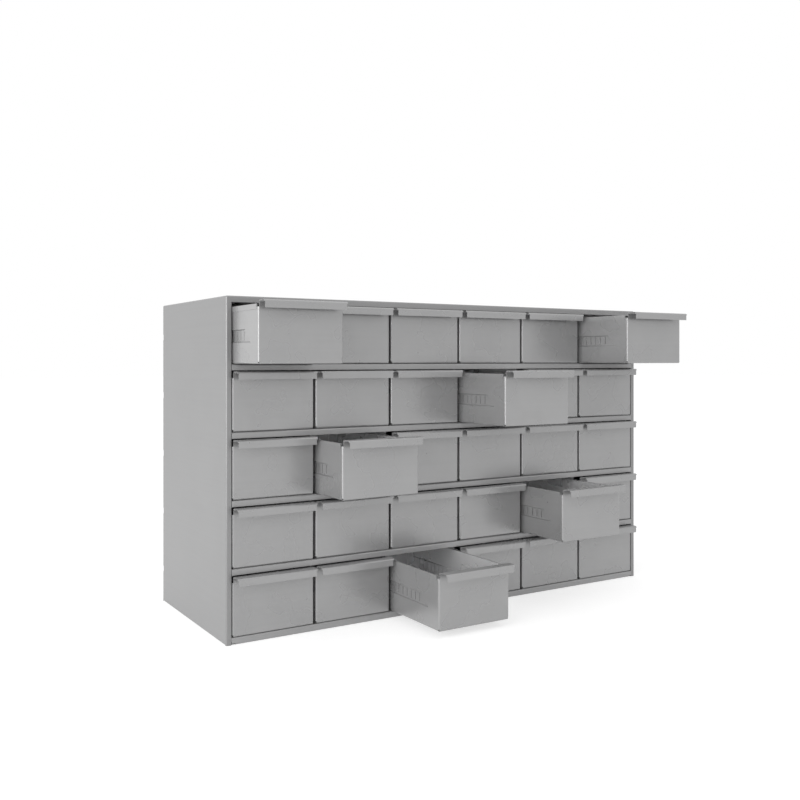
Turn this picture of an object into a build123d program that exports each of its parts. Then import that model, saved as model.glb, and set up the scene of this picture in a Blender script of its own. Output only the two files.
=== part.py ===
from build123d import *
import math
import os

# Parts bin cabinet: a free-standing bench cabinet folded and spot-welded from thin steel sheet,
# with five rows of six drawers. Millimetres, +Z up. The origin is the middle of the base, the
# drawers open towards -Y and +X is to the right of someone who stands in front of it.

os.makedirs("parts", exist_ok=True)

# ---- The casing ----
cabinet_width = 857.25
cabinet_depth = 295.3
casing_sheet = 0.8
casing_bend = 2.4
fold_facets = 2
hidden_fold_facets = 1
rows = 5
columns = 6
base_height = 11.0
opening_height = 92.5
shelf_lip = 9.5
top_frame = 9.5
stile_width = 9.0
stile_return = 12.0
rear_return = 12.0
foot_return = 15.0
shelf_flange = 12.0
back_lap = 6.0
rear_notch = (9.0, 9.0, 10.0)
rear_notch_height = 46.0
weld_gap = 0.2

# ---- The partitions that keep the drawers apart ----
partition_setback = 14.0
partition_rear_gap = 3.0
partition_nose = 6.0

# ---- The stiffener under the bottom tray ----
stiffener_width = 42.0
stiffener_flange = 18.0
stiffener_end_gap = 33.6

# ---- The drawers ----
column_gap = 3.7
side_clearance = 0.9
drawer_sheet = 0.8
drawer_bend = 2.4
running_clearance = 0.3
rear_clearance = 0.5
pull_top_gap = 1.6
pull_reach = 17.0
pull_flange = 12.0
pull_bend = 3.0
side_drop = 5.4
corner_notch = 4.5
front_return = 6.0
corner_relief = 3.4
hem_height = 8.0
hem_gap = 0.6
channel_low = 31.0
channel_height = 19.5
channel_depth = 1.6
channel_start = 29.0
channel_rear_margin = 14.0
stop_from_rear = 50.0
stop_length = 14.0
stop_overlap = 4.5
stop_clearance = 0.5
stop_chamfer = 4.0

# How far each drawer is pulled out, as (row from the top, column from the left).
pulled_out = {
    (1, 1): 94.5,
    (1, 6): 119.0,
    (2, 4): 122.0,
    (3, 2): 85.5,
    (4, 5): 104.0,
    (5, 3): 135.0,
}

# ---- Sizes that follow from those above ----
half_width = cabinet_width / 2
front_y = -cabinet_depth / 2
rear_y = cabinet_depth / 2
row_pitch = opening_height + shelf_lip
cabinet_height = base_height + (rows - 1) * row_pitch + opening_height + top_frame
foot_half = half_width - foot_return
stiffener_half = half_width - stiffener_end_gap
inner_half_width = half_width - casing_sheet
frame_half_width = half_width - stile_width
panel_front_y = rear_y - 2 * casing_sheet
shelf_rear_y = panel_front_y
casing_inner_bend = casing_bend - casing_sheet
partition_flange = stile_width - casing_sheet - casing_bend - weld_gap

drawer_space = 2 * frame_half_width - 2 * side_clearance - (columns - 1) * column_gap
drawer_width = drawer_space / columns
column_pitch = drawer_width + column_gap
drawer_half = drawer_width / 2
side_outer = drawer_half - drawer_sheet
side_inner = side_outer - drawer_sheet
drawer_inner_bend = drawer_bend - drawer_sheet
drawer_depth = shelf_rear_y - casing_sheet - rear_clearance - front_y
tray_bottom = running_clearance
pull_top = opening_height - pull_top_gap
side_top = pull_top - side_drop
overlap = 6.0 + drawer_bend


def eased_fold(before, corner, after, radius, thickness, facets):
    """Both faces of one fold, each eased by flat facets that touch the fold's true arc."""
    arriving = (Vector(*corner) - Vector(*before)).normalized()
    leaving = (Vector(*after) - Vector(*corner)).normalized()
    turn = math.atan2(arriving.cross(leaving).Z, arriving.dot(leaving))
    inward = arriving.rotate(Axis.Z, math.copysign(90, turn))
    centre = Vector(*corner) - arriving * (radius * math.tan(abs(turn) / 2)) + inward * radius
    step = turn / (facets + 1)
    faces = []
    for face_radius in (radius, radius + math.copysign(thickness, turn)):
        spoke = inward * (-face_radius / math.cos(step / 2))
        angles = [math.degrees(step * (k + 0.5)) for k in range(facets + 1)]
        faces.append([centre + spoke.rotate(Axis.Z, angle) for angle in angles])
    return faces


def folded(points, radii, thickness, facets=fold_facets):
    """A strip of sheet seen on edge: the path is one face, the sheet lies to its right."""
    near = [Vector(*points[0])]
    far = [near[0] + right_of(points[0], points[1]) * thickness]
    for before, corner, after, radius in zip(points, points[1:], points[2:], radii):
        near_fold, far_fold = eased_fold(before, corner, after, radius, thickness, facets)
        near += near_fold
        far += far_fold
    near.append(Vector(*points[-1]))
    far.append(near[-1] + right_of(points[-2], points[-1]) * thickness)
    return make_face(Polyline(*near, *reversed(far), close=True))


def right_of(start, end):
    """The unit direction to the right of a straight run."""
    return (Vector(*end) - Vector(*start)).normalized().rotate(Axis.Z, -90)


def along_x(profile, start, end):
    """A profile drawn as (y, z), drawn out from x = start to x = end."""
    return extrude(Plane.YZ.offset(start) * profile, amount=end - start)


def along_y(profile, start, end):
    """A profile drawn as (x, z), drawn out from y = start to y = end."""
    return extrude(Plane.XZ.offset(-end) * profile, amount=end - start)


def along_z(profile, start, end):
    """A profile drawn as (x, y), drawn out from z = start to z = end."""
    return extrude(Plane.XY.offset(start) * profile, amount=end - start)


def block(low, high):
    """A plain block between two corners, used for cuts and flat strips of sheet."""
    size = [b - a for a, b in zip(low, high)]
    return Pos(*low) * Box(*size, align=(Align.MIN, Align.MIN, Align.MIN))


def both_sides(shape):
    """A shape on the +X side together with its mirror image on the -X side."""
    return [shape, mirror(shape, about=Plane.YZ)]


def shelf_top(row):
    """Height of the surface that a row of drawers slides on. Row 1 is the top row."""
    return base_height + (rows - row) * row_pitch


def drawer_centre(column):
    """X of the middle of a column of drawers. Column 1 is on the left."""
    return (column - (columns + 1) / 2) * column_pitch


# ---- Casing wrapper: top and both sides in one folded sheet ----

def folded_edges(box):
    """The edges where the wrapper is folded: front uprights, front and side top edges."""
    upright = box.edges().filter_by(Axis.Z).sort_by(Axis.Y)[0:2]
    crown = box.faces().sort_by(Axis.Z)[-1].edges().sort_by(Axis.Y)[0:3]
    return upright + crown


def casing_shell():
    outer = block((-half_width, front_y, 0), (half_width, rear_y, cabinet_height))
    inner = block(
        (-inner_half_width, front_y + casing_sheet, casing_sheet),
        (inner_half_width, rear_y - casing_sheet, cabinet_height - casing_sheet),
    )
    outer = fillet(folded_edges(outer), casing_bend)
    inner = chamfer(folded_edges(inner), casing_inner_bend * (2 - math.sqrt(2)))
    shell = outer - inner

    frame_top = cabinet_height - top_frame
    front_window = block(
        (-frame_half_width, front_y - 1, -1),
        (frame_half_width, front_y + casing_bend, frame_top),
    )
    rear_half = half_width - rear_return
    rear_window = block(
        (-rear_half, rear_y - casing_bend, -1),
        (rear_half, rear_y + 1, cabinet_height - rear_return),
    )
    foot_window = block((-foot_half, front_y - 1, -1), (foot_half, rear_y + 1, casing_sheet))
    shell = shell - front_window - rear_window - foot_window

    stile_inner = frame_half_width + casing_sheet
    return_strip = block(
        (frame_half_width, front_y, 0),
        (stile_inner, front_y + stile_return, frame_top),
    )
    shell = shell + both_sides(return_strip)

    for row in range(1, rows + 1):
        notch_height = shelf_top(row) + rear_notch_height
        notch = Pos(half_width, rear_y, notch_height) * Box(*rear_notch)
        shell = shell - both_sides(notch)
    return shell


def back_panel():
    panel_half = half_width - rear_return + back_lap
    panel_top = cabinet_height - rear_return + back_lap
    return block(
        (-panel_half, panel_front_y, casing_sheet),
        (panel_half, panel_front_y + casing_sheet, panel_top),
    )


# ---- Shelves and the bottom tray ----

def side_wing(top, depth_below):
    """The end of a shelf: it runs behind the stile to the casing side and is folded down."""
    root = frame_half_width - overlap
    points = [
        (root, top),
        (inner_half_width, top),
        (inner_half_width, top - depth_below),
    ]
    profile = folded(points, [casing_bend], casing_sheet)
    return along_y(profile, front_y + stile_return + weld_gap, rear_y - casing_bend)


def shelf(row):
    """A shelf under one row: lip folded down in front, back stop folded up behind."""
    top = shelf_top(row)
    points = [
        (front_y, top - shelf_lip),
        (front_y, top),
        (shelf_rear_y - casing_sheet, top),
        (shelf_rear_y - casing_sheet, top + shelf_flange),
    ]
    profile = folded(points, [casing_bend, casing_inner_bend], casing_sheet)
    plate = along_x(profile, -frame_half_width + weld_gap, frame_half_width - weld_gap)
    return plate + both_sides(side_wing(top, shelf_flange))


def bottom_tray():
    """The lowest shelf: its lip reaches the bench and is folded back under as a foot."""
    top = base_height
    points = [
        (front_y + foot_return, 0),
        (front_y, 0),
        (front_y, top),
        (shelf_rear_y - casing_sheet, top),
        (shelf_rear_y - casing_sheet, top + shelf_flange),
    ]
    profile = folded(points, [casing_bend, casing_bend, casing_inner_bend], casing_sheet)
    tray_half = frame_half_width - weld_gap
    plate = along_x(profile, -tray_half, tray_half)
    foot_return_space = block(
        (foot_half - weld_gap, front_y + casing_bend - weld_gap, -1),
        (half_width, rear_y, casing_sheet + weld_gap),
    )
    plate = plate - both_sides(foot_return_space)
    return plate + both_sides(side_wing(top, base_height - casing_sheet))


def base_stiffener():
    """Hat section across the middle of the base, between the bottom tray and the bench."""
    top = base_height - casing_sheet
    half = stiffener_width / 2
    edge = half + stiffener_flange
    points = [
        (-edge, top),
        (-half, top),
        (-half, casing_sheet),
        (half, casing_sheet),
        (half, top),
        (edge, top),
    ]
    radii = [casing_bend, casing_inner_bend, casing_inner_bend, casing_bend]
    profile = folded(points, radii, casing_sheet, hidden_fold_facets)
    return along_x(profile, -stiffener_half, stiffener_half)


# ---- Partitions ----

def partition(x, floor, ceiling, flange_side):
    """One upright sheet between two columns, hung from the shelf above by a folded flange."""
    half = casing_sheet / 2
    points = [
        (x - half, floor),
        (x - half, ceiling),
        (x - half + partition_flange, ceiling),
    ]
    profile = folded(points, [casing_bend], casing_sheet, hidden_fold_facets)
    rear = shelf_rear_y - partition_rear_gap
    sheet = along_y(profile, front_y + partition_setback, rear)
    nose = sheet.edges().filter_by(Axis.X).sort_by(Axis.Z)[0:2].sort_by(Axis.Y)[0]
    sheet = chamfer(nose, partition_nose)
    if flange_side < 0:
        sheet = mirror(sheet, about=Plane.YZ.offset(x))
    return sheet


def partitions(row):
    """The partitions of one row: one between each two columns and one at each end."""
    floor = shelf_top(row)
    if row == 1:
        ceiling = cabinet_height - casing_sheet
    else:
        ceiling = shelf_top(row - 1) - casing_sheet
    end_x = frame_half_width + casing_sheet / 2
    sheets = [partition(-end_x, floor, ceiling, -1)]
    for column in range(1, columns):
        gap_x = drawer_centre(column) + column_pitch / 2
        sheets.append(partition(gap_x, floor, ceiling, 1))
    sheets.append(partition(end_x, floor, ceiling, 1))
    return Compound(children=sheets)


# ---- Drawer: one folded blank with the pull formed from its own front ----

def drawer_strip():
    """Pull, front, floor and back of the drawer, as one strip seen from its side."""
    floor_top = tray_bottom + drawer_sheet
    points = [
        (-pull_reach, pull_top - pull_flange),
        (-pull_reach, pull_top),
        (drawer_sheet, pull_top),
        (drawer_sheet, floor_top),
        (drawer_depth - drawer_sheet, floor_top),
        (drawer_depth - drawer_sheet, side_top),
    ]
    radii = [pull_bend, pull_bend, drawer_inner_bend, drawer_inner_bend]
    return along_x(folded(points, radii, drawer_sheet), -side_inner, side_inner)


def drawer_side():
    """The +X side wall, folded up from the floor and notched at its top front corner."""
    points = [
        (side_outer, side_top),
        (side_outer, tray_bottom),
        (side_inner - overlap, tray_bottom),
    ]
    profile = folded(points, [drawer_bend], drawer_sheet, hidden_fold_facets)
    wall = along_y(profile, corner_relief, drawer_depth - corner_relief)
    ends = block(
        (side_inner, drawer_sheet, tray_bottom + corner_relief),
        (side_outer, drawer_depth, side_top),
    )
    notch = block(
        (side_inner - 1, drawer_sheet, side_top - corner_notch),
        (side_outer + 1, front_return, side_top + 1),
    )
    return wall + ends - notch


def front_side_return():
    """The edge of the front, folded back over the outside of the side wall."""
    points = [
        (drawer_half, front_return),
        (drawer_half, 0),
        (side_inner - overlap, 0),
    ]
    profile = folded(points, [drawer_bend], drawer_sheet)
    return along_z(profile, tray_bottom + corner_relief, side_top - corner_notch)


def side_hem():
    """The side wall's top edge, folded outwards and down flat, from the front to the stop."""
    start = front_return + hem_gap
    end = drawer_depth - stop_from_rear - hem_gap
    return block((side_outer, start, side_top - hem_height), (drawer_half, end, side_top))


def stop_ear():
    """A tab left standing on the side wall, caught by the frame when the drawer is out."""
    rear = drawer_depth - stop_from_rear + stop_length
    front = drawer_depth - stop_from_rear
    top = opening_height + stop_overlap
    ear = block((side_inner, front, side_top - 1), (side_outer, rear, top))
    corner = ear.edges().filter_by(Axis.X).sort_by(Axis.Z)[-2:].sort_by(Axis.Y)[-1]
    return chamfer(corner, stop_chamfer)


def channel_outline(x, inset):
    """The pressed channel's outline on the side wall at one depth, its front end slanted."""
    low = tray_bottom + channel_low + inset
    high = tray_bottom + channel_low + channel_height - inset
    front = channel_start + 2 * inset
    rear = drawer_depth - channel_rear_margin - inset
    corners = [
        (front, low),
        (rear, low),
        (rear, high),
        (front + high - low, high),
    ]
    return Plane.YZ.offset(x) * make_face(Polyline(*corners, close=True))


def channel(surface_x):
    """The solid between the wall's surface and the floor of the pressed channel."""
    mouth = channel_outline(surface_x, 0)
    floor = channel_outline(surface_x - channel_depth, channel_depth * 0.75)
    return loft([mouth, floor])


def drawer():
    side = drawer_side() + channel(side_inner) - channel(side_outer)
    side = side + side_hem() + stop_ear() + front_side_return()
    return drawer_strip() + both_sides(side)


# ---- Write every piece ----

def save(shape, name):
    shape.label = name
    export_step(shape, f"parts/{name}.step")


save(casing_shell(), "casing_shell")
save(back_panel(), "back_panel")
save(bottom_tray(), "bottom_tray")
save(base_stiffener(), "base_stiffener")
for row in range(1, rows):
    save(shelf(row), f"shelf_under_row_{row}")
for row in range(1, rows + 1):
    save(partitions(row), f"partitions_row_{row}")

one_drawer = drawer()
for row in range(1, rows + 1):
    for column in range(1, columns + 1):
        out = pulled_out.get((row, column), 0)
        place = Pos(drawer_centre(column), front_y - out, shelf_top(row))
        save(place * one_drawer, f"drawer_row_{row}_column_{column}")

travel = drawer_depth - stop_from_rear - casing_sheet - stop_clearance
print(f"height {cabinet_height:.2f}, drawer {drawer_width:.2f} wide, {drawer_depth:.2f} deep")
print(f"drawer travel {travel:.2f}")
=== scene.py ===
import math

import bmesh
import bpy
from bpy.props import FloatProperty, FloatVectorProperty, IntProperty, PointerProperty
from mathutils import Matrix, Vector


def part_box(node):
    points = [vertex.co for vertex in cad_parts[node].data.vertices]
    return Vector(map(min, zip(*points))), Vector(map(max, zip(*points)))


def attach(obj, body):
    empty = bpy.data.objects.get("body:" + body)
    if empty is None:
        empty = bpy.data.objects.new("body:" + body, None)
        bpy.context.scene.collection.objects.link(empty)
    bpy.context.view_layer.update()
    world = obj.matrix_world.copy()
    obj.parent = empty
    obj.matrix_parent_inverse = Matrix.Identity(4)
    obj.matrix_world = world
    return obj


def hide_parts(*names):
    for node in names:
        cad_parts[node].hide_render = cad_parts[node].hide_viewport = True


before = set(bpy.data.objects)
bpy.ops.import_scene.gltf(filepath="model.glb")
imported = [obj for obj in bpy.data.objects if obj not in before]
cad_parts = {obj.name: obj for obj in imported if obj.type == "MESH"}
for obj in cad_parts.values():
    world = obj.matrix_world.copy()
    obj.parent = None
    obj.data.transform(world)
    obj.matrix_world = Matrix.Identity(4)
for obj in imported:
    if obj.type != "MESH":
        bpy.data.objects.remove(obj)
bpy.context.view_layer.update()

bl_info = {
    "name": "Parts Bin Cabinet",
    "version": (1, 0, 0),
    "blender": (4, 5, 0),
    "location": "View3D > Sidebar > Bins",
    "description": "Folds a sheet steel cabinet with thirty drawers and its studio",
    "category": "Add Mesh",
}

# Metres, +Z up. The drawers open towards -Y, and the origin is the middle of the cabinet's base.

TOUCH = 0.00002
SIDES = (-1, 1)
ROWS = 5
COLUMNS = 6
SHARP_ANGLE = math.radians(40)
# The attribute that marks the drawers' inside faces for painted fill light.
PAINTED_FILL_MARK = "looks_inside"

# The satin steel: shares of its tone and roughness, then heights in metres.
GRAIN_IN_TONE = 0.3
HAZE_IN_TONE = 0.7
TONE_SPREAD = 0.03
HAZE_DULLS = 0.03
SPECKS_DULL = 0.005
GRAIN_HEIGHT = 0.0000005
WELD_DEPTH = 0.0003
WELD_RADIUS = 0.003

# The camera was fitted to the cabinet's corners in the photo.
CAMERA_PLACE = (-0.93097, -1.39314, 0.42475)
CAMERA_TURN = -0.533
CAMERA_SHIFT = (0.0487, -0.0498)
SENSOR_WIDTH = 36.0

# Each softbox: its name, place, aim, width, height and the setting that holds its power.
SOFTBOXES = (
    ("rear_softbox", (-2.4, 1.5, 1.2), (-0.43, 0.0, 0.3), 2.4, 2.0, "rear_light"),
    ("left_softbox", (-3.0, -1.0, 0.9), (0.0, -0.15, 0.3), 2.4, 2.0, "left_light"),
    ("top_softbox", (0.0, -0.8, 2.8), (0.0, 0.0, 0.3), 3.0, 2.0, "top_light"),
)


# ---- Sizes and colours that a user would change ----

def length(name, description, default):
    return FloatProperty(
        name=name, description=description, default=default, min=0.0, unit="LENGTH", precision=5
    )


def share(name, description, default):
    return FloatProperty(
        name=name, description=description, default=default, min=0.0, max=1.0, subtype="FACTOR"
    )


def colour(name, description, default):
    return FloatVectorProperty(
        name=name, description=description, default=default, min=0.0, max=1.0, subtype="COLOR"
    )


class SheetSizes(bpy.types.PropertyGroup):
    """What every folded sheet has in common."""

    thickness: length("Thickness", "Steel from face to face, a hair under gauge", 0.00076)
    gauge: length("Gauge", "Nominal thickness that the pieces are laid out with", 0.0008)
    bend: length("Bend", "Outer radius of a fold", 0.0024)
    facets: IntProperty(name="Facets", description="Faces round a quarter fold", default=4, min=1)


class CasingSizes(bpy.types.PropertyGroup):
    """The wrapper, the shelves and the bottom tray."""

    stile: length("Stile", "Width of the frame beside the drawers", 0.009)
    top_rail: length("Top rail", "Height of the frame over the top row", 0.0095)
    lip: length("Lip", "Height of a shelf's front edge", 0.0095)
    base: length("Base", "Height of the rail under the bottom row", 0.011)
    row_pitch: length("Row pitch", "From one shelf to the next", 0.102)
    stile_return: length("Stile return", "How far the stile is folded back", 0.012)
    stile_fold: length("Stile fold", "Radius of the stile's inner fold", 0.0012)
    rear_return: length("Rear return", "Width of the flange round the back", 0.012)
    foot_return: length("Foot return", "How far the bottom edges turn in", 0.015)
    flange: length("Flange", "Height of a shelf's rear stop and end flanges", 0.012)
    joint: length("Joint", "Clearance between welded sheets", 0.0002)
    notch_depth: length("Notch depth", "Depth of the relief notches on the rear corners", 0.0045)
    notch_height: length("Notch height", "Height of the relief notches", 0.010)
    notch_above: length("Notch above shelf", "From a shelf to the middle of its notch", 0.046)


class DrawerSizes(bpy.types.PropertyGroup):
    """One drawer, the same for all thirty places."""

    clearance: length("Clearance", "Running gap over the shelf", 0.0003)
    pull_reach: length("Pull reach", "How far the pull stands in front of the drawer", 0.017)
    pull_flange: length("Pull flange", "Height of the pull's hanging edge", 0.012)
    pull_bend: length("Pull bend", "Outer radius of the pull's folds", 0.003)
    pull_top: length("Pull top", "Height of the pull over the shelf", 0.0909)
    side_top: length("Side top", "Height of the side walls over the shelf", 0.0855)
    notch: length("Corner notch", "Depth of the notch at the front's upper corners", 0.0045)
    front_return: length("Front return", "How far the front wraps round the sides", 0.006)
    relief: length("Corner relief", "Height of the cut-out at the lower corners", 0.0034)
    wall_forward: length("Wall forward", "How far the side wall runs past its front relief", 0.0008)
    rear_gap: length("Rear gap", "From the side wall's end to the drawer's rear", 0.0009)
    hem: length("Hem", "Height of the side wall's folded edge", 0.008)
    hem_gap: length("Hem gap", "Slit beside the hem's ends", 0.0006)
    ear_from_rear: length("Stop ear", "From the stop ear's front to the drawer's rear", 0.050)
    ear_length: length("Ear length", "Length of the stop ear", 0.014)
    ear_top: length("Ear top", "Height of the stop ear over the shelf", 0.097)
    ear_corner: length("Ear corner", "The ear's cut corner", 0.004)
    channel_low: length("Channel low", "Height of the pressed channel's lower edge", 0.0313)
    channel_high: length("Channel high", "Height of the pressed channel's upper edge", 0.0508)
    channel_depth: length("Channel depth", "How deep the channel is pressed", 0.0016)
    channel_slope: length("Channel slope", "Width of the channel's sloping wall", 0.0012)
    channel_start: length("Channel start", "From the front to the channel", 0.029)
    channel_rear: length("Channel rear", "From the channel to the drawer's rear", 0.014)
    channel_edge: length("Channel edge", "Rounding of the channel's edges", 0.0007)
    slot_first: length("First slot", "From the front to the first divider slot", 0.0555)
    slot_pitch: length("Slot pitch", "From one divider slot to the next", 0.012)
    slot_width: length("Slot width", "Width of a divider slot", 0.0014)
    slot_low: length("Slot low", "Height of a slot's lower end", 0.0342)
    slot_high: length("Slot high", "Height of a slot's upper end", 0.0478)


class SteelFinish(bpy.types.PropertyGroup):
    """Colours of the satin steel; the drawer inside and inner colours are painted fill light."""

    casing: colour("Casing", "Satin steel of the casing", (0.300, 0.300, 0.302))
    shelf: colour("Shelf", "Satin steel of the shelves and the tray", (0.370, 0.370, 0.372))
    drawer: colour("Drawer", "Satin steel of the drawers", (0.385, 0.385, 0.387))
    # Painted fill light: a pale colour that lifts the shade inside the drawers.
    bin_inside_painted_fill: colour("Drawer inside", "Brighter steel in the drawers", (0.880, 0.880, 0.884))
    # Painted fill light: a pale colour that lifts the shade in the gaps, on the back and inside the
    # casing.
    inner: colour("Inner", "Pale steel of the back and inside the casing", (0.820, 0.820, 0.824))
    metal: share("Metal", "Share of bare metal against the dull film over it", 0.45)
    casing_sheen: share("Casing roughness", "How widely the casing spreads a reflection", 0.34)
    drawer_sheen: share("Drawer roughness", "How widely the drawers spread a reflection", 0.27)
    inner_sheen: share("Inner roughness", "How widely the inside spreads a reflection", 0.42)


class StudioSettings(bpy.types.PropertyGroup):
    """The floor, the lights and the lens."""

    floor_size: length("Floor size", "Side of the square floor", 40.0)
    floor_colour: colour("Floor colour", "Pale matt floor", (0.62, 0.62, 0.62))
    floor_glow: share("Floor glow", "Added where the floor is seen, to bring it to white", 0.6)
    world_light: FloatProperty(name="World light", description="Fill from all round", default=0.75)
    rear_light: FloatProperty(name="Rear light", description="Softbox behind on the left", default=4.0)
    left_light: FloatProperty(name="Left light", description="Softbox on the left", default=50.0)
    top_light: FloatProperty(name="Top light", description="Softbox overhead", default=6.0)
    lens: FloatProperty(name="Lens", description="Focal length, millimetres", default=40.28)


PROPERTY_GROUPS = {
    "bins_sheet": SheetSizes,
    "bins_casing": CasingSizes,
    "bins_drawer": DrawerSizes,
    "bins_steel": SteelFinish,
    "bins_studio": StudioSettings,
}


# ---- The sheet metal bench: each call is one operation on the piece in edit mode ----

def where(x=None, y=None, z=None, reach=None):
    """A test for a corner's place: each a number or a (low, high) range. Reach is X either side."""

    def fits(value, wanted):
        low, high = wanted if isinstance(wanted, tuple) else (wanted, wanted)
        return low - TOUCH <= value <= high + TOUCH

    def test(corner):
        places = ((corner.x, x), (corner.y, y), (corner.z, z), (abs(corner.x), reach))
        return all(wanted is None or fits(value, wanted) for value, wanted in places)

    return test


def pick(kind, *tests):
    """Select the corners, edges or faces whose every corner passes one of the tests."""
    bpy.ops.mesh.select_mode(type=kind)
    bpy.ops.mesh.select_all(action="DESELECT")
    mesh = bpy.context.object.data
    shape = bmesh.from_edit_mesh(mesh)
    parts = {"VERT": shape.verts, "EDGE": shape.edges, "FACE": shape.faces}[kind]
    found = 0
    for part in parts:
        corners = [part] if kind == "VERT" else part.verts
        if any(all(test(corner.co) for corner in corners) for test in tests):
            part.select_set(True)
            found += 1
    if not found:
        raise RuntimeError(f"nothing to pick on {bpy.context.object.name}")
    shape.select_flush_mode()
    bmesh.update_edit_mesh(mesh)


def start_piece(primitive, name, low, high):
    """A primitive between two corners, open in edit mode."""
    low, high = Vector(low), Vector(high)
    bpy.ops.object.select_all(action="DESELECT")
    primitive(size=1, location=(low + high) / 2)
    piece = bpy.context.object
    piece.name = piece.data.name = name
    piece.scale = [side if side > TOUCH else 1 for side in high - low]
    bpy.ops.object.transform_apply(location=True, rotation=True, scale=True)
    bpy.ops.object.mode_set(mode="EDIT")
    return piece


def draw_out(move):
    """Carry the picked edges straight on and leave sheet behind them."""
    bpy.ops.mesh.extrude_edges_move(TRANSFORM_OT_translate={"value": move})


def swing(centre, axis, degrees, facets):
    """Carry the picked edges round a fold. The operator counts its angle the other way."""
    bpy.ops.mesh.spin(steps=facets, angle=-math.radians(degrees), center=centre, axis=axis)


def cut(test, place, normal):
    """Score the faces that pass the test along a plane."""
    pick("FACE", test)
    bpy.ops.mesh.bisect(plane_co=place, plane_no=normal)


def cut_out(*tests):
    pick("FACE", *tests)
    bpy.ops.mesh.delete(type="FACE")


def ease(radius, facets, *tests):
    """Round the picked fold lines."""
    pick("EDGE", *tests)
    bpy.ops.mesh.bevel(offset=radius, segments=facets, affect="EDGES", clamp_overlap=False)


def show_side(test, direction):
    """Turn the whole sheet so that the face that passes the test looks in the direction."""
    bpy.ops.mesh.select_all(action="SELECT")
    bpy.ops.mesh.normals_make_consistent(inside=False)
    shape = bmesh.from_edit_mesh(bpy.context.object.data)
    known = [face for face in shape.faces if all(test(corner.co) for corner in face.verts)]
    if not known:
        raise RuntimeError(f"no face to turn on {bpy.context.object.name}")
    if known[0].normal.dot(Vector(direction)) < 0:
        bpy.ops.mesh.flip_normals()


def give_thickness(piece, sheet):
    """Leave edit mode, thicken the sheet behind its shown side and smooth its folds."""
    bpy.ops.object.mode_set(mode="OBJECT")
    add_modifier(piece, "SOLIDIFY", thickness=sheet.thickness, offset=-1, use_even_offset=True)
    bpy.ops.object.shade_smooth_by_angle(angle=SHARP_ANGLE)
    add_modifier(piece, "WEIGHTED_NORMAL", keep_sharp=True)


def add_modifier(piece, kind, **settings):
    """Add a modifier with its settings and apply it."""
    modifier = piece.modifiers.new(kind.title(), kind)
    for name, value in settings.items():
        setattr(modifier, name, value)
    bpy.ops.object.modifier_apply(modifier=modifier.name)


def everywhere(corner):
    return True


# ---- Effects that more than one finish uses ----

def make_group(name, inputs, outputs):
    """An empty shader node group with its sockets, or None if it is there already."""
    if name in bpy.data.node_groups:
        return None
    group = bpy.data.node_groups.new(name, "ShaderNodeTree")
    for label, kind, default in inputs:
        socket = group.interface.new_socket(label, in_out="INPUT", socket_type=kind)
        if default is not None:
            socket.default_value = default
    for label in outputs:
        group.interface.new_socket(label, in_out="OUTPUT", socket_type="NodeSocketFloat")
    return group


def add_node(tree, kind, links=(), **settings):
    """A node with its settings; links name its inputs and what feeds them."""
    node = tree.nodes.new(kind)
    for name, value in settings.items():
        setattr(node, name, value)
    for socket, source in dict(links).items():
        if hasattr(source, "is_output"):
            tree.links.new(source, node.inputs[socket])
        else:
            node.inputs[socket].default_value = source
    return node


def spread(tree, source, low, high):
    """Stretch a value's useful range onto zero to one, with soft ends."""
    node = add_node(
        tree,
        "ShaderNodeMapRange",
        {"Value": source, "From Min": low, "From Max": high},
        interpolation_type="SMOOTHSTEP",
    )
    return node.outputs["Result"]


def times(tree, first, second):
    node = add_node(tree, "ShaderNodeMath", {0: first, 1: second}, operation="MULTIPLY")
    return node.outputs[0]


def plus(tree, first, second):
    node = add_node(tree, "ShaderNodeMath", {0: first, 1: second}, operation="ADD")
    return node.outputs[0]


def rolled_grain():
    """Fine lines left by rolling, long in X and Y and close together in Z."""
    inputs = [
        ("Vector", "NodeSocketVector", None),
        ("Stretch", "NodeSocketVector", (4.0, 4.0, 220.0)),
    ]
    group = make_group("Rolled grain", inputs, ["Height", "Tone"])
    if group is None:
        return
    entry = group.nodes.new("NodeGroupInput")
    stretched = add_node(
        group,
        "ShaderNodeVectorMath",
        {0: entry.outputs["Vector"], 1: entry.outputs["Stretch"]},
        operation="MULTIPLY",
    )
    lines = add_node(
        group,
        "ShaderNodeTexNoise",
        {"Vector": stretched.outputs[0], "Scale": 1.0, "Detail": 1.0, "Roughness": 0.5},
    )
    leaving = group.nodes.new("NodeGroupOutput")
    group.links.new(lines.outputs["Fac"], leaving.inputs["Height"])
    group.links.new(spread(group, lines.outputs["Fac"], 0.3, 0.7), leaving.inputs["Tone"])


def hand_haze():
    """Cloudy marks of handling and storage, in large soft patches with finer ones inside."""
    inputs = [("Vector", "NodeSocketVector", None), ("Size", "NodeSocketFloat", 0.05)]
    group = make_group("Hand haze", inputs, ["Haze", "Specks"])
    if group is None:
        return
    entry = group.nodes.new("NodeGroupInput")
    per_metre = add_node(
        group, "ShaderNodeMath", {0: 1.0, 1: entry.outputs["Size"]}, operation="DIVIDE"
    )
    clouds = add_node(
        group,
        "ShaderNodeTexNoise",
        {
            "Vector": entry.outputs["Vector"],
            "Scale": per_metre.outputs[0],
            "Detail": 2.0,
            "Roughness": 0.5,
        },
    )
    specks = add_node(
        group,
        "ShaderNodeTexNoise",
        {"Vector": entry.outputs["Vector"], "Scale": 1400.0, "Detail": 1.0},
    )
    leaving = group.nodes.new("NodeGroupOutput")
    group.links.new(spread(group, clouds.outputs["Fac"], 0.38, 0.66), leaving.inputs["Haze"])
    group.links.new(spread(group, specks.outputs["Fac"], 0.66, 0.8), leaving.inputs["Specks"])


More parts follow.
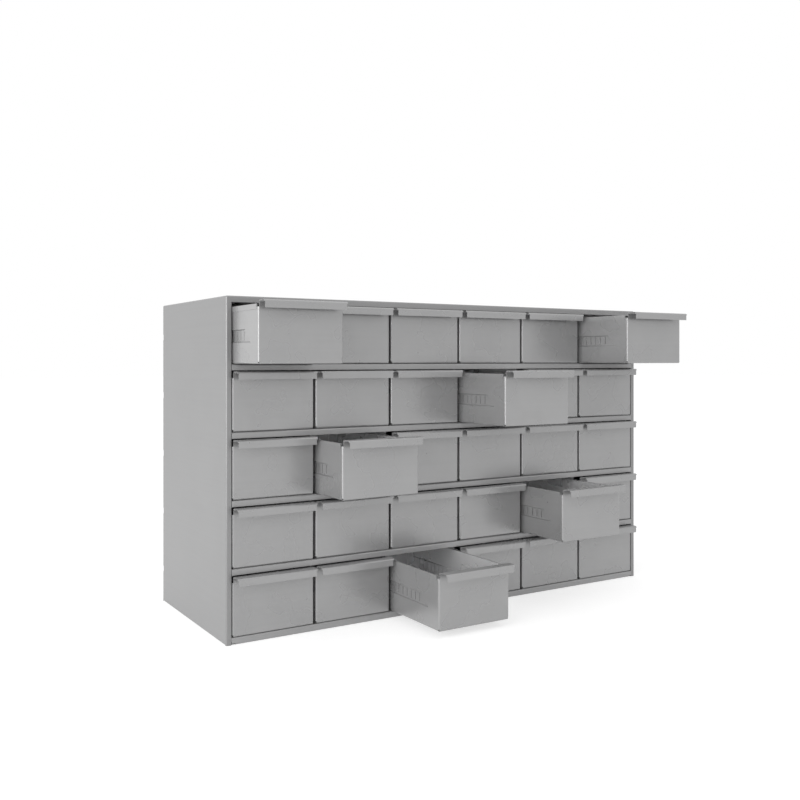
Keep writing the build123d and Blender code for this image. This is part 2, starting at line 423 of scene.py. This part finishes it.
def sheet_ripple():
    """The slow waves of a thin flat sheet, which bend what it reflects."""
    inputs = [("Vector", "NodeSocketVector", None), ("Span", "NodeSocketFloat", 0.14)]
    group = make_group("Sheet ripple", inputs, ["Height"])
    if group is None:
        return
    entry = group.nodes.new("NodeGroupInput")
    per_metre = add_node(
        group, "ShaderNodeMath", {0: 1.0, 1: entry.outputs["Span"]}, operation="DIVIDE"
    )
    waves = add_node(
        group,
        "ShaderNodeTexNoise",
        {"Vector": entry.outputs["Vector"], "Scale": per_metre.outputs[0], "Detail": 0.0},
    )
    leaving = group.nodes.new("NodeGroupOutput")
    group.links.new(waves.outputs["Fac"], leaving.inputs["Height"])


def spot_welds():
    """Round dimples of spot welds, repeated over two pitches from a first one."""
    inputs = [
        ("Vector", "NodeSocketVector", None),
        ("First", "NodeSocketVector", (0.0, 0.0, 0.0)),
        ("Pitch", "NodeSocketVector", (0.1, 0.1, 0.1)),
        ("Radius", "NodeSocketFloat", 0.0025),
    ]
    group = make_group("Spot welds", inputs, ["Dimple"])
    if group is None:
        return
    entry = group.nodes.new("NodeGroupInput")
    from_first = add_node(
        group,
        "ShaderNodeVectorMath",
        {0: entry.outputs["Vector"], 1: entry.outputs["First"]},
        operation="SUBTRACT",
    )
    nearest = add_node(
        group,
        "ShaderNodeVectorMath",
        {0: from_first.outputs[0], 1: entry.outputs["Pitch"]},
        operation="SNAP",
    )
    half_pitch = add_node(
        group,
        "ShaderNodeVectorMath",
        {0: entry.outputs["Pitch"], 1: (0.5, 0.5, 0.5)},
        operation="MULTIPLY",
    )
    in_cell = add_node(
        group,
        "ShaderNodeVectorMath",
        {0: from_first.outputs[0], 1: nearest.outputs[0]},
        operation="SUBTRACT",
    )
    from_middle = add_node(
        group,
        "ShaderNodeVectorMath",
        {0: in_cell.outputs[0], 1: half_pitch.outputs[0]},
        operation="SUBTRACT",
    )
    distance = add_node(
        group, "ShaderNodeVectorMath", {0: from_middle.outputs[0]}, operation="LENGTH"
    )
    dimple = add_node(
        group,
        "ShaderNodeMapRange",
        {
            "Value": distance.outputs["Value"],
            "From Min": entry.outputs["Radius"],
            "From Max": 0.0,
        },
        interpolation_type="SMOOTHSTEP",
    )
    leaving = group.nodes.new("NodeGroupOutput")
    group.links.new(dimple.outputs["Result"], leaving.inputs["Dimple"])


def use_group(tree, name, links):
    """Place a shared effect in a material with its own values."""
    node = tree.nodes.new("ShaderNodeGroup")
    node.node_tree = bpy.data.node_groups[name]
    for socket, source in links.items():
        if hasattr(source, "is_output"):
            tree.links.new(source, node.inputs[socket])
        else:
            node.inputs[socket].default_value = source
    return node


# ---- Finishes ----

def satin_steel(name, base, roughness, haze_size, ripple_depth, welds=None, inside=None):
    """Satin steel sheet with grain, haze and ripples, and spot welds if asked, or a paler inside that
    is painted fill light.
    """
    if name in bpy.data.materials:
        return bpy.data.materials[name]
    for effect in (rolled_grain, hand_haze, sheet_ripple, spot_welds):
        effect()
    material = bpy.data.materials.new(name)
    material.use_nodes = True
    tree = material.node_tree
    shader = tree.nodes["Principled BSDF"]
    place = tree.nodes.new("ShaderNodeTexCoord").outputs["Object"]
    grain = use_group(tree, "Rolled grain", {"Vector": place})
    haze = use_group(tree, "Hand haze", {"Vector": place, "Size": haze_size})
    ripple = use_group(tree, "Sheet ripple", {"Vector": place})

    shader.inputs["Metallic"].default_value = bpy.context.scene.bins_steel.metal
    tone = plus(
        tree,
        times(tree, grain.outputs["Tone"], GRAIN_IN_TONE),
        times(tree, haze.outputs["Haze"], HAZE_IN_TONE),
    )
    mix = add_node(
        tree,
        "ShaderNodeMix",
        {
            "Factor": tone,
            6: [channel * (1 - TONE_SPREAD) for channel in base] + [1.0],
            7: [min(channel * (1 + TONE_SPREAD), 1.0) for channel in base] + [1.0],
        },
        data_type="RGBA",
    )
    toned = mix.outputs[2]
    # Painted fill light: the marked inside faces get a paler colour that stands in for the light that
    # would fill them.
    if inside:
        mark = add_node(tree, "ShaderNodeAttribute", attribute_name=PAINTED_FILL_MARK)
        links = {"Factor": mark.outputs["Fac"], 6: toned, 7: [*inside, 1.0]}
        toned = add_node(tree, "ShaderNodeMix", links, data_type="RGBA").outputs[2]
    tree.links.new(toned, shader.inputs["Base Color"])

    dulled = times(tree, haze.outputs["Haze"], HAZE_DULLS)
    dusty = times(tree, haze.outputs["Specks"], SPECKS_DULL)
    rough = plus(tree, plus(tree, roughness, dulled), dusty)
    tree.links.new(rough, shader.inputs["Roughness"])

    height = plus(
        tree,
        times(tree, grain.outputs["Height"], GRAIN_HEIGHT),
        times(tree, ripple.outputs["Height"], ripple_depth),
    )
    if welds:
        dimples = use_group(tree, "Spot welds", {"Vector": place, **welds})
        height = plus(tree, height, times(tree, dimples.outputs["Dimple"], -WELD_DEPTH))
    bump = add_node(tree, "ShaderNodeBump", {"Height": height, "Strength": 1.0, "Distance": 1.0})
    tree.links.new(bump.outputs["Normal"], shader.inputs["Normal"])
    return material


def casing_steel(context):
    steel = context.scene.bins_steel
    return satin_steel(
        "casing_satin", steel.casing, steel.casing_sheen, haze_size=0.09, ripple_depth=0.0003
    )


def shelf_steel(context):
    steel = context.scene.bins_steel
    return satin_steel(
        "shelf_satin", steel.shelf, steel.casing_sheen, haze_size=0.09, ripple_depth=0.0003
    )


def drawer_steel(context):
    steel = context.scene.bins_steel
    return satin_steel(
        "drawer_satin",
        steel.drawer,
        steel.drawer_sheen,
        haze_size=0.06,
        ripple_depth=0.0004,
        # The paler inside is painted fill light.
        inside=steel.bin_inside_painted_fill,
    )


# The inner colour is painted fill light that lifts the shade between the drawers; the spot welds are
# real.
def inner_steel_painted_fill(context):
    steel = context.scene.bins_steel
    casing = context.scene.bins_casing
    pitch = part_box("drawer_row_1_column_2")[0].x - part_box("drawer_row_1_column_1")[0].x
    welds = {
        "First": (0.0, -1.0, casing.base + casing.flange / 2 - casing.row_pitch / 2),
        "Pitch": (pitch / 2, 4.0, casing.row_pitch),
        "Radius": WELD_RADIUS,
    }
    return satin_steel(
        "inner_satin",
        steel.inner,
        steel.inner_sheen,
        haze_size=0.07,
        ripple_depth=0.0004,
        welds=welds,
    )


def finish_piece(piece, material, slot, body, *nodes):
    """Give a new piece its finish, set it on its body and let it stand for its nodes."""
    piece.data.materials.clear()
    piece.data.materials.append(material)
    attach(piece, body)
    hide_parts(*nodes)


# ---- Drawers ----

def fold_drawer(sheet, size, half_width, depth):
    """One drawer with its front face at Y = 0 and the shelf under it at Z = 0."""
    radius = sheet.bend - sheet.gauge
    outer = half_width - sheet.gauge
    inner = outer - sheet.gauge
    start = inner - radius
    floor = size.clearance + sheet.gauge
    rear = depth - sheet.gauge
    relief_top = size.clearance + size.relief
    notch_bottom = size.side_top - size.notch

    piece = start_piece(
        bpy.ops.mesh.primitive_plane_add,
        "drawer",
        (-start, sheet.gauge + radius, floor),
        (start, rear - radius, floor),
    )
    for y in (size.relief, depth - size.relief):
        cut(everywhere, (0, y, 0), (0, 1, 0))

    fold_front_and_pull(sheet, size, floor, radius, relief_top, notch_bottom)
    fold_back_wall(sheet, size, floor, radius, rear)
    fold_front_returns(sheet, size, outer, start, relief_top, notch_bottom)
    widen = inner - start
    for side in SIDES:
        pick(
            "EDGE",
            where(x=side * start, y=(-size.pull_reach, size.relief), z=(0, relief_top)),
            where(x=side * start, y=(-size.pull_reach, size.relief), z=(notch_bottom, 1)),
            where(x=side * start, y=(depth - size.relief, depth)),
        )
        draw_out((side * widen, 0, 0))
        fold_side_wall(sheet, size, side, depth, inner, start, floor, relief_top, notch_bottom)
    show_side(where(y=(size.relief, depth - size.relief), z=floor), (0, 0, 1))
    for side in SIDES:
        press_channel(size, side, inner, depth)
    give_thickness(piece, sheet)
    mark_painted_fill(piece, sheet, size, inner, depth)
    return piece


def mark_painted_fill(piece, sheet, size, inner, depth):
    """Mark the faces that look into the drawer, where the finish paints in fill light to lift their
    shade.
    """
    mark = piece.data.attributes.new(PAINTED_FILL_MARK, "FLOAT", "FACE")
    middle = Vector((0, depth / 2, size.side_top / 2))
    for face in piece.data.polygons:
        at = face.center
        between = abs(at.x) < inner + TOUCH and sheet.gauge / 2 < at.y < depth
        faces_middle = face.normal.dot(middle - at) > 0
        looks_in = between and at.z < size.side_top and faces_middle
        mark.data[face.index].value = 1.0 if looks_in else 0.0


def fold_front_and_pull(sheet, size, floor, radius, relief_top, notch_bottom):
    """Front and pull in one strip: up, forward over the top and down."""
    front = sheet.gauge
    bend_low = size.pull_top - size.pull_bend
    pick("EDGE", where(y=front + radius))
    swing((0, front + radius, floor + radius), (1, 0, 0), -90, sheet.facets)
    draw_out((0, 0, relief_top - floor - radius))
    draw_out((0, 0, notch_bottom - relief_top))
    draw_out((0, 0, bend_low - notch_bottom))
    swing((0, front - size.pull_bend, bend_low), (1, 0, 0), 90, sheet.facets)
    draw_out((0, 2 * size.pull_bend - size.pull_reach - front, 0))
    swing((0, size.pull_bend - size.pull_reach, bend_low), (1, 0, 0), 90, sheet.facets)
    draw_out((0, 0, size.pull_bend - size.pull_flange))


def fold_back_wall(sheet, size, floor, radius, rear):
    pick("EDGE", where(y=rear - radius))
    swing((0, rear - radius, floor + radius), (1, 0, 0), 90, sheet.facets)
    draw_out((0, 0, size.side_top - floor - radius))


def fold_front_returns(sheet, size, outer, start, relief_top, notch_bottom):
    """The front's upright edges, folded back over the side walls."""
    front = sheet.gauge
    radius = sheet.bend - sheet.gauge
    for side in SIDES:
        pick("EDGE", where(x=side * start, y=front, z=(relief_top, notch_bottom)))
        draw_out((side * (outer - radius - start), 0, 0))
        swing((side * (outer - radius), front + radius, 0), (0, 0, 1), side * 90, sheet.facets)
        draw_out((0, size.front_return - front - radius, 0))


def fold_side_wall(sheet, size, side, depth, inner, start, floor, relief_top, notch_bottom):
    """A side wall with the hem and the stop ear on its top edge."""
    radius = inner - start
    shoulder = (size.channel_high + notch_bottom) / 2
    hem_start = size.front_return + size.hem_gap
    ear_start = depth - size.ear_from_rear
    ear_end = ear_start + size.ear_length
    hem_end = ear_start - size.hem_gap
    wall_x = side * inner

    pick("EDGE", where(x=side * start, y=(size.relief, depth - size.relief), z=floor))
    swing((side * start, 0, floor + radius), (0, 1, 0), -side * 90, sheet.facets)
    draw_out((0, 0, relief_top - floor - radius))
    draw_out((0, 0, shoulder - relief_top))
    draw_out((0, 0, notch_bottom - shoulder))
    rear_relief = depth - size.relief
    for edge, move in ((size.relief, -size.wall_forward), (rear_relief, size.relief - size.rear_gap)):
        pick("EDGE", where(x=wall_x, y=edge, z=(relief_top, notch_bottom)))
        draw_out((0, move, 0))
    for y in (hem_start, hem_end, ear_start, ear_end):
        cut(where(x=wall_x, z=(shoulder, 1)), (0, y, 0), (0, 1, 0))

    pick("EDGE", where(x=wall_x, y=(ear_end, depth), z=notch_bottom))
    draw_out((0, 0, size.side_top - notch_bottom))
    pick("EDGE", where(x=wall_x, y=(ear_start, ear_end), z=notch_bottom))
    draw_out((0, 0, size.ear_top - notch_bottom))
    pick("VERT", where(x=wall_x, y=ear_end, z=size.ear_top))
    bpy.ops.mesh.bevel(offset=size.ear_corner, segments=1, affect="VERTICES")

    pick("EDGE", where(x=wall_x, y=(hem_start, hem_end), z=notch_bottom))
    draw_out((0, 0, size.side_top - sheet.gauge - notch_bottom))
    fold_line = (side * (inner + sheet.gauge), 0, size.side_top - sheet.gauge)
    swing(fold_line, (0, 1, 0), side * 180, 2 * sheet.facets)
    draw_out((0, 0, sheet.gauge - size.hem))


def press_channel(size, side, inner, depth):
    """Press the long channel into a side wall and pierce the divider slots in its floor."""
    wall_x = side * inner
    lower_wall = where(x=wall_x, z=(size.relief, 1))
    rear = depth - size.channel_rear
    height = size.channel_high - size.channel_low
    cut(lower_wall, (0, 0, size.channel_low), (0, 0, 1))
    cut(lower_wall, (0, 0, size.channel_high), (0, 0, 1))
    band_height = (size.channel_low, size.channel_high)
    band = where(x=wall_x, z=band_height)
    cut(band, (0, rear, 0), (0, 1, 0))
    cut(band, (0, size.channel_start, size.channel_low), (0, 1, -1))

    pick("FACE", where(x=wall_x, y=(size.channel_start, rear), z=band_height))
    bpy.ops.mesh.inset(thickness=size.channel_slope, depth=size.channel_depth)
    web_x = side * (inner - size.channel_depth)
    bpy.ops.mesh.region_to_loop()
    bpy.ops.mesh.bevel(offset=size.channel_edge, segments=2, affect="EDGES")

    count = int((rear - height - size.slot_first) / size.slot_pitch) + 1
    middles = [size.slot_first + number * size.slot_pitch for number in range(count)]
    slots = [(y - size.slot_width / 2, y + size.slot_width / 2) for y in middles]
    for slot in slots:
        for edge in slot:
            cut(where(x=web_x), (0, edge, 0), (0, 1, 0))
        for z in (size.slot_low, size.slot_high):
            cut(where(x=web_x, y=slot), (0, 0, z), (0, 0, 1))
    for slot in slots:
        cut_out(where(x=web_x, y=slot, z=(size.slot_low, size.slot_high)))


class BINS_OT_drawers(bpy.types.Operator):
    """Fold one drawer and set a copy of it in each of the thirty places"""

    bl_idname = "bins.drawers"
    bl_label = "Drawers"

    def execute(self, context):
        sheet = context.scene.bins_sheet
        size = context.scene.bins_drawer
        low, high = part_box("drawer_row_1_column_1")
        half_width = (high.x - low.x) / 2
        depth = high.y - low.y - size.pull_reach
        pattern = fold_drawer(sheet, size, half_width, depth)
        material = drawer_steel(context)
        for row in range(1, ROWS + 1):
            for column in range(1, COLUMNS + 1):
                node = f"drawer_row_{row}_column_{column}"
                low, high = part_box(node)
                place = ((low.x + high.x) / 2, low.y + size.pull_reach, low.z - size.clearance)
                bpy.ops.object.select_all(action="DESELECT")
                context.view_layer.objects.active = pattern
                pattern.select_set(True)
                bpy.ops.object.duplicate()
                bpy.ops.transform.translate(value=place)
                bpy.ops.object.transform_apply(location=True, rotation=True, scale=True)
                piece = context.object
                piece.name = piece.data.name = f"bin_row_{row}_column_{column}"
                finish_piece(piece, material, "drawer_steel", node, node)
        bpy.data.objects.remove(pattern)
        return {"FINISHED"}


# ---- Casing ----

class BINS_OT_casing(bpy.types.Operator):
    """Fold the wrapper that is the top, both sides and the frame round the drawers"""

    bl_idname = "bins.casing"
    bl_label = "Casing"

    def execute(self, context):
        sheet = context.scene.bins_sheet
        size = context.scene.bins_casing
        low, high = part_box("casing_shell")
        half, front, rear, top = high.x, low.y, high.y, high.z
        bend = sheet.bend
        frame_half = half - size.stile
        frame_top = top - size.top_rail
        piece = start_piece(
            bpy.ops.mesh.primitive_cube_add,
            "casing",
            (-half, front, bend),
            (half, rear, top),
        )
        cut_out(where(z=bend))
        for side in SIDES:
            cut(where(y=front), (side * frame_half, 0, 0), (1, 0, 0))
            cut(where(y=rear), (side * (half - size.rear_return), 0, 0), (1, 0, 0))
        cut(where(y=front), (0, 0, frame_top), (0, 0, 1))
        cut(where(y=rear), (0, 0, top - size.rear_return), (0, 0, 1))
        cut_out(
            where(reach=(0, frame_half), y=front, z=(bend, frame_top)),
            where(reach=(0, half - size.rear_return), y=rear, z=(bend, top - size.rear_return)),
        )
        self.turn_in_foot(sheet, size, half, front, rear)
        self.fold_back_stiles(size, frame_half, front, frame_top)
        self.notch_rear_corners(size, half, rear)
        ease(
            bend,
            sheet.facets,
            where(reach=half, y=front, z=(0, top)),
            where(reach=half, y=rear, z=(0, top)),
            where(z=top, y=front),
            where(z=top, y=rear),
            where(z=top, reach=half),
        )
        ease(size.stile_fold, 3, where(reach=frame_half, y=front, z=(0, frame_top)))
        show_side(where(z=top), (0, 0, 1))
        give_thickness(piece, sheet)
        finish_piece(piece, casing_steel(context), "casing_steel", "cabinet", "casing_shell")
        return {"FINISHED"}

    def turn_in_foot(self, sheet, size, half, front, rear):
        """Turn the lower edges of the sides in, clear of the corners."""
        bend = sheet.bend
        relief = 1.5 * bend
        for side in SIDES:
            for y in (front + relief, rear - relief):
                cut(where(x=side * half), (0, y, 0), (0, 1, 0))
            pick("EDGE", where(x=side * half, y=(front + relief, rear - relief), z=bend))
            swing((side * (half - bend), 0, bend), (0, 1, 0), side * 90, sheet.facets)
            draw_out((-side * (size.foot_return - bend), 0, 0))
        pick(
            "EDGE",
            where(y=(front, front + relief), z=bend, reach=(0, half)),
            where(y=(rear - relief, rear), z=bend, reach=(0, half)),
        )
        draw_out((0, 0, -bend))

    def fold_back_stiles(self, size, frame_half, front, frame_top):
        for side in SIDES:
            pick("EDGE", where(x=side * frame_half, y=front, z=(0, frame_top)))
            draw_out((0, size.stile_return, 0))

    def notch_rear_corners(self, size, half, rear):
        """Cut the small relief notches on the rear corners, one to each row."""
        deep = size.notch_depth
        tall = size.notch_height / 2
        heights = [size.base + row * size.row_pitch + size.notch_above for row in range(ROWS)]
        flange = where(reach=(half - size.rear_return, half), y=rear)
        for side in SIDES:
            cut(where(x=side * half, y=(0, rear)), (0, rear - deep, 0), (0, 1, 0))
            cut(flange, (side * (half - deep), 0, 0), (1, 0, 0))
        corner = (
            where(reach=half, y=(rear - deep, rear)),
            where(reach=(half - deep, half), y=rear),
        )
        for height in heights:
            for z in (height - tall, height + tall):
                for strip in corner:
                    cut(strip, (0, 0, z), (0, 0, 1))
            cut_out(
                where(reach=half, y=(rear - deep, rear), z=(height - tall, height + tall)),
                where(reach=(half - deep, half), y=rear, z=(height - tall, height + tall)),
            )


class BINS_OT_shelves(bpy.types.Operator):
    """Fold the four shelves and the bottom tray"""

    bl_idname = "bins.shelves"
    bl_label = "Shelves and bottom tray"

    def execute(self, context):
        sheet = context.scene.bins_sheet
        size = context.scene.bins_casing
        material = shelf_steel(context)
        for row in range(1, ROWS):
            node = f"shelf_under_row_{row}"
            low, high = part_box(node)
            top = low.z + size.flange
            piece = self.fold_shelf(f"shelf_{row}", sheet, size, top, low, high, size.flange)
            give_thickness(piece, sheet)
            finish_piece(piece, material, "casing_steel", "cabinet", node)
        low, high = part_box("bottom_tray")
        piece = self.fold_shelf("tray", sheet, size, size.base, low, high, size.base - sheet.gauge)
        give_thickness(piece, sheet)
        finish_piece(piece, material, "casing_steel", "cabinet", "bottom_tray")
        return {"FINISHED"}

    def fold_shelf(self, name, sheet, size, top, low, high, end_flange):
        """A shelf: lip down in front, stop up behind and flanges down at both ends."""
        bend = sheet.bend
        radius = bend - sheet.gauge
        front = low.y
        rear = high.y - sheet.gauge
        end = high.x
        frame_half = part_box("casing_shell")[1].x - size.stile - size.joint
        wing_start = front + size.stile_return + size.joint
        piece = start_piece(
            bpy.ops.mesh.primitive_plane_add,
            name,
            (-frame_half, front + bend, top),
            (frame_half, rear - radius, top),
        )
        cut(everywhere, (0, wing_start, 0), (0, 1, 0))
        pick("EDGE", where(y=front + bend))
        swing((0, front + bend, top - bend), (1, 0, 0), 90, sheet.facets)
        if name == "tray":
            draw_out((0, 0, 2 * bend - top))
            foot_half = end + sheet.gauge - size.foot_return - size.joint
            for side in SIDES:
                cut(where(y=front), (side * foot_half, 0, 0), (1, 0, 0))
            pick("EDGE", where(reach=(0, foot_half), y=front, z=bend))
            swing((0, front + bend, bend), (1, 0, 0), 90, sheet.facets)
            draw_out((0, size.foot_return - bend, 0))
        else:
            draw_out((0, 0, bend - size.lip))
        pick("EDGE", where(y=rear - radius))
        swing((0, rear - radius, top + radius), (1, 0, 0), 90, sheet.facets)
        draw_out((0, 0, size.flange - radius))
        for side in SIDES:
            pick("EDGE", where(x=side * frame_half, y=(wing_start, rear - radius), z=top))
            draw_out((side * (end - bend - frame_half), 0, 0))
            swing((side * (end - bend), 0, top - bend), (0, 1, 0), side * 90, sheet.facets)
            draw_out((0, 0, bend - end_flange))
        show_side(where(reach=(0, frame_half), y=(wing_start, rear), z=top), (0, 0, 1))
        return piece


class BINS_OT_inner_sheets(bpy.types.Operator):
    """Finish the partitions, the back panel and the base stiffener"""

    bl_idname = "bins.inner_sheets"
    bl_label = "Partitions, back and stiffener"

    def execute(self, context):
        # The partitions, back and stiffener take the pale steel, whose colour is painted fill light.
        material = inner_steel_painted_fill(context)
        names = [f"partitions_row_{row}" for row in range(1, ROWS + 1)]
        for name in names + ["back_panel", "base_stiffener"]:
            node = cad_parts[name]
            node.data.materials.clear()
            node.data.materials.append(material)
        return {"FINISHED"}


# ---- Studio ----

class BINS_OT_studio(bpy.types.Operator):
    """Lay the pale floor, hang the soft lights and set up the camera"""

    bl_idname = "bins.studio"
    bl_label = "Studio"

    def execute(self, context):
        studio = context.scene.bins_studio
        self.lay_floor(studio)
        self.light_world(context.scene, studio)
        self.hang_lights(studio)
        self.place_camera(context.scene, studio)
        context.scene.view_settings.view_transform = "Standard"
        return {"FINISHED"}

    def white_where_seen(self, tree):
        """One where the eye, a reflection or glass looks, zero for light that only fills."""
        path = tree.nodes.new("ShaderNodeLightPath")
        seen = path.outputs["Is Camera Ray"]
        for ray in ("Is Glossy Ray", "Is Transmission Ray"):
            node = add_node(
                tree, "ShaderNodeMath", {0: seen, 1: path.outputs[ray]}, operation="MAXIMUM"
            )
            seen = node.outputs[0]
        return seen

    def lay_floor(self, studio):
        bpy.ops.object.select_all(action="DESELECT")
        bpy.ops.mesh.primitive_plane_add(size=studio.floor_size)
        floor = bpy.context.object
        floor.name = floor.data.name = "floor"
        material = bpy.data.materials.new("pale_floor")
        material.use_nodes = True
        tree = material.node_tree
        shader = tree.nodes["Principled BSDF"]
        shader.inputs["Base Color"].default_value = (*studio.floor_colour, 1.0)
        shader.inputs["Roughness"].default_value = 0.9
        shader.inputs["Specular IOR Level"].default_value = 0.0
        glow = tree.nodes.new("ShaderNodeEmission")
        strength = times(tree, self.white_where_seen(tree), studio.floor_glow)
        tree.links.new(strength, glow.inputs["Strength"])
        both = add_node(tree, "ShaderNodeAddShader", {0: shader.outputs[0], 1: glow.outputs[0]})
        tree.links.new(both.outputs[0], tree.nodes["Material Output"].inputs["Surface"])
        floor.data.materials.append(material)

    def light_world(self, scene, studio):
        world = bpy.data.worlds.new("studio")
        scene.world = world
        world.use_nodes = True
        tree = world.node_tree
        fill = tree.nodes["Background"]
        fill.inputs["Strength"].default_value = studio.world_light
        fill.inputs["Color"].default_value = (1.0, 1.0, 1.0, 1.0)
        white = add_node(
            tree, "ShaderNodeBackground", {"Color": (1.0, 1.0, 1.0, 1.0), "Strength": 1.0}
        )
        mix = add_node(
            tree,
            "ShaderNodeMixShader",
            {0: self.white_where_seen(tree), 1: fill.outputs[0], 2: white.outputs[0]},
        )
        tree.links.new(mix.outputs[0], tree.nodes["World Output"].inputs["Surface"])

    def hang_lights(self, studio):
        for name, place, target, width, height, power in SOFTBOXES:
            light = bpy.data.lights.new(name, "AREA")
            light.shape = "RECTANGLE"
            light.size, light.size_y = width, height
            light.energy = getattr(studio, power)
            lamp = bpy.data.objects.new(name, light)
            bpy.context.scene.collection.objects.link(lamp)
            lamp.location = place
            aim = Vector(target) - Vector(place)
            lamp.rotation_euler = aim.to_track_quat("-Z", "Y").to_euler()

    def place_camera(self, scene, studio):
        """Level, a little left of the cabinet and turned towards its right side."""
        camera = bpy.data.cameras.new("camera")
        camera.lens = studio.lens
        camera.sensor_width = SENSOR_WIDTH
        camera.shift_x, camera.shift_y = CAMERA_SHIFT
        view = bpy.data.objects.new("camera", camera)
        scene.collection.objects.link(view)
        view.location = CAMERA_PLACE
        view.rotation_euler = (math.pi / 2, 0.0, CAMERA_TURN)
        scene.camera = view


OPERATORS = [
    BINS_OT_drawers,
    BINS_OT_casing,
    BINS_OT_shelves,
    BINS_OT_inner_sheets,
    BINS_OT_studio,
]


class BINS_PT_sidebar(bpy.types.Panel):
    """Lists what can be made."""

    bl_idname = "BINS_PT_sidebar"
    bl_label = "Parts bin cabinet"
    bl_space_type = "VIEW_3D"
    bl_region_type = "UI"
    bl_category = "Bins"

    def draw(self, context):
        for operator in OPERATORS:
            self.layout.operator(operator.bl_idname)
        for name, group in PROPERTY_GROUPS.items():
            box = self.layout.box()
            for field in group.__annotations__:
                box.prop(getattr(context.scene, name), field)


def register():
    for name, group in PROPERTY_GROUPS.items():
        bpy.utils.register_class(group)
        setattr(bpy.types.Scene, name, PointerProperty(type=group))
    for kind in [*OPERATORS, BINS_PT_sidebar]:
        bpy.utils.register_class(kind)


def unregister():
    for kind in [BINS_PT_sidebar, *reversed(OPERATORS)]:
        bpy.utils.unregister_class(kind)
    for name, group in PROPERTY_GROUPS.items():
        delattr(bpy.types.Scene, name)
        bpy.utils.unregister_class(group)


def main():
    register()
    bpy.ops.bins.studio()
    bpy.ops.bins.casing()
    bpy.ops.bins.shelves()
    bpy.ops.bins.inner_sheets()
    bpy.ops.bins.drawers()


if __name__ == "__main__":
    main()
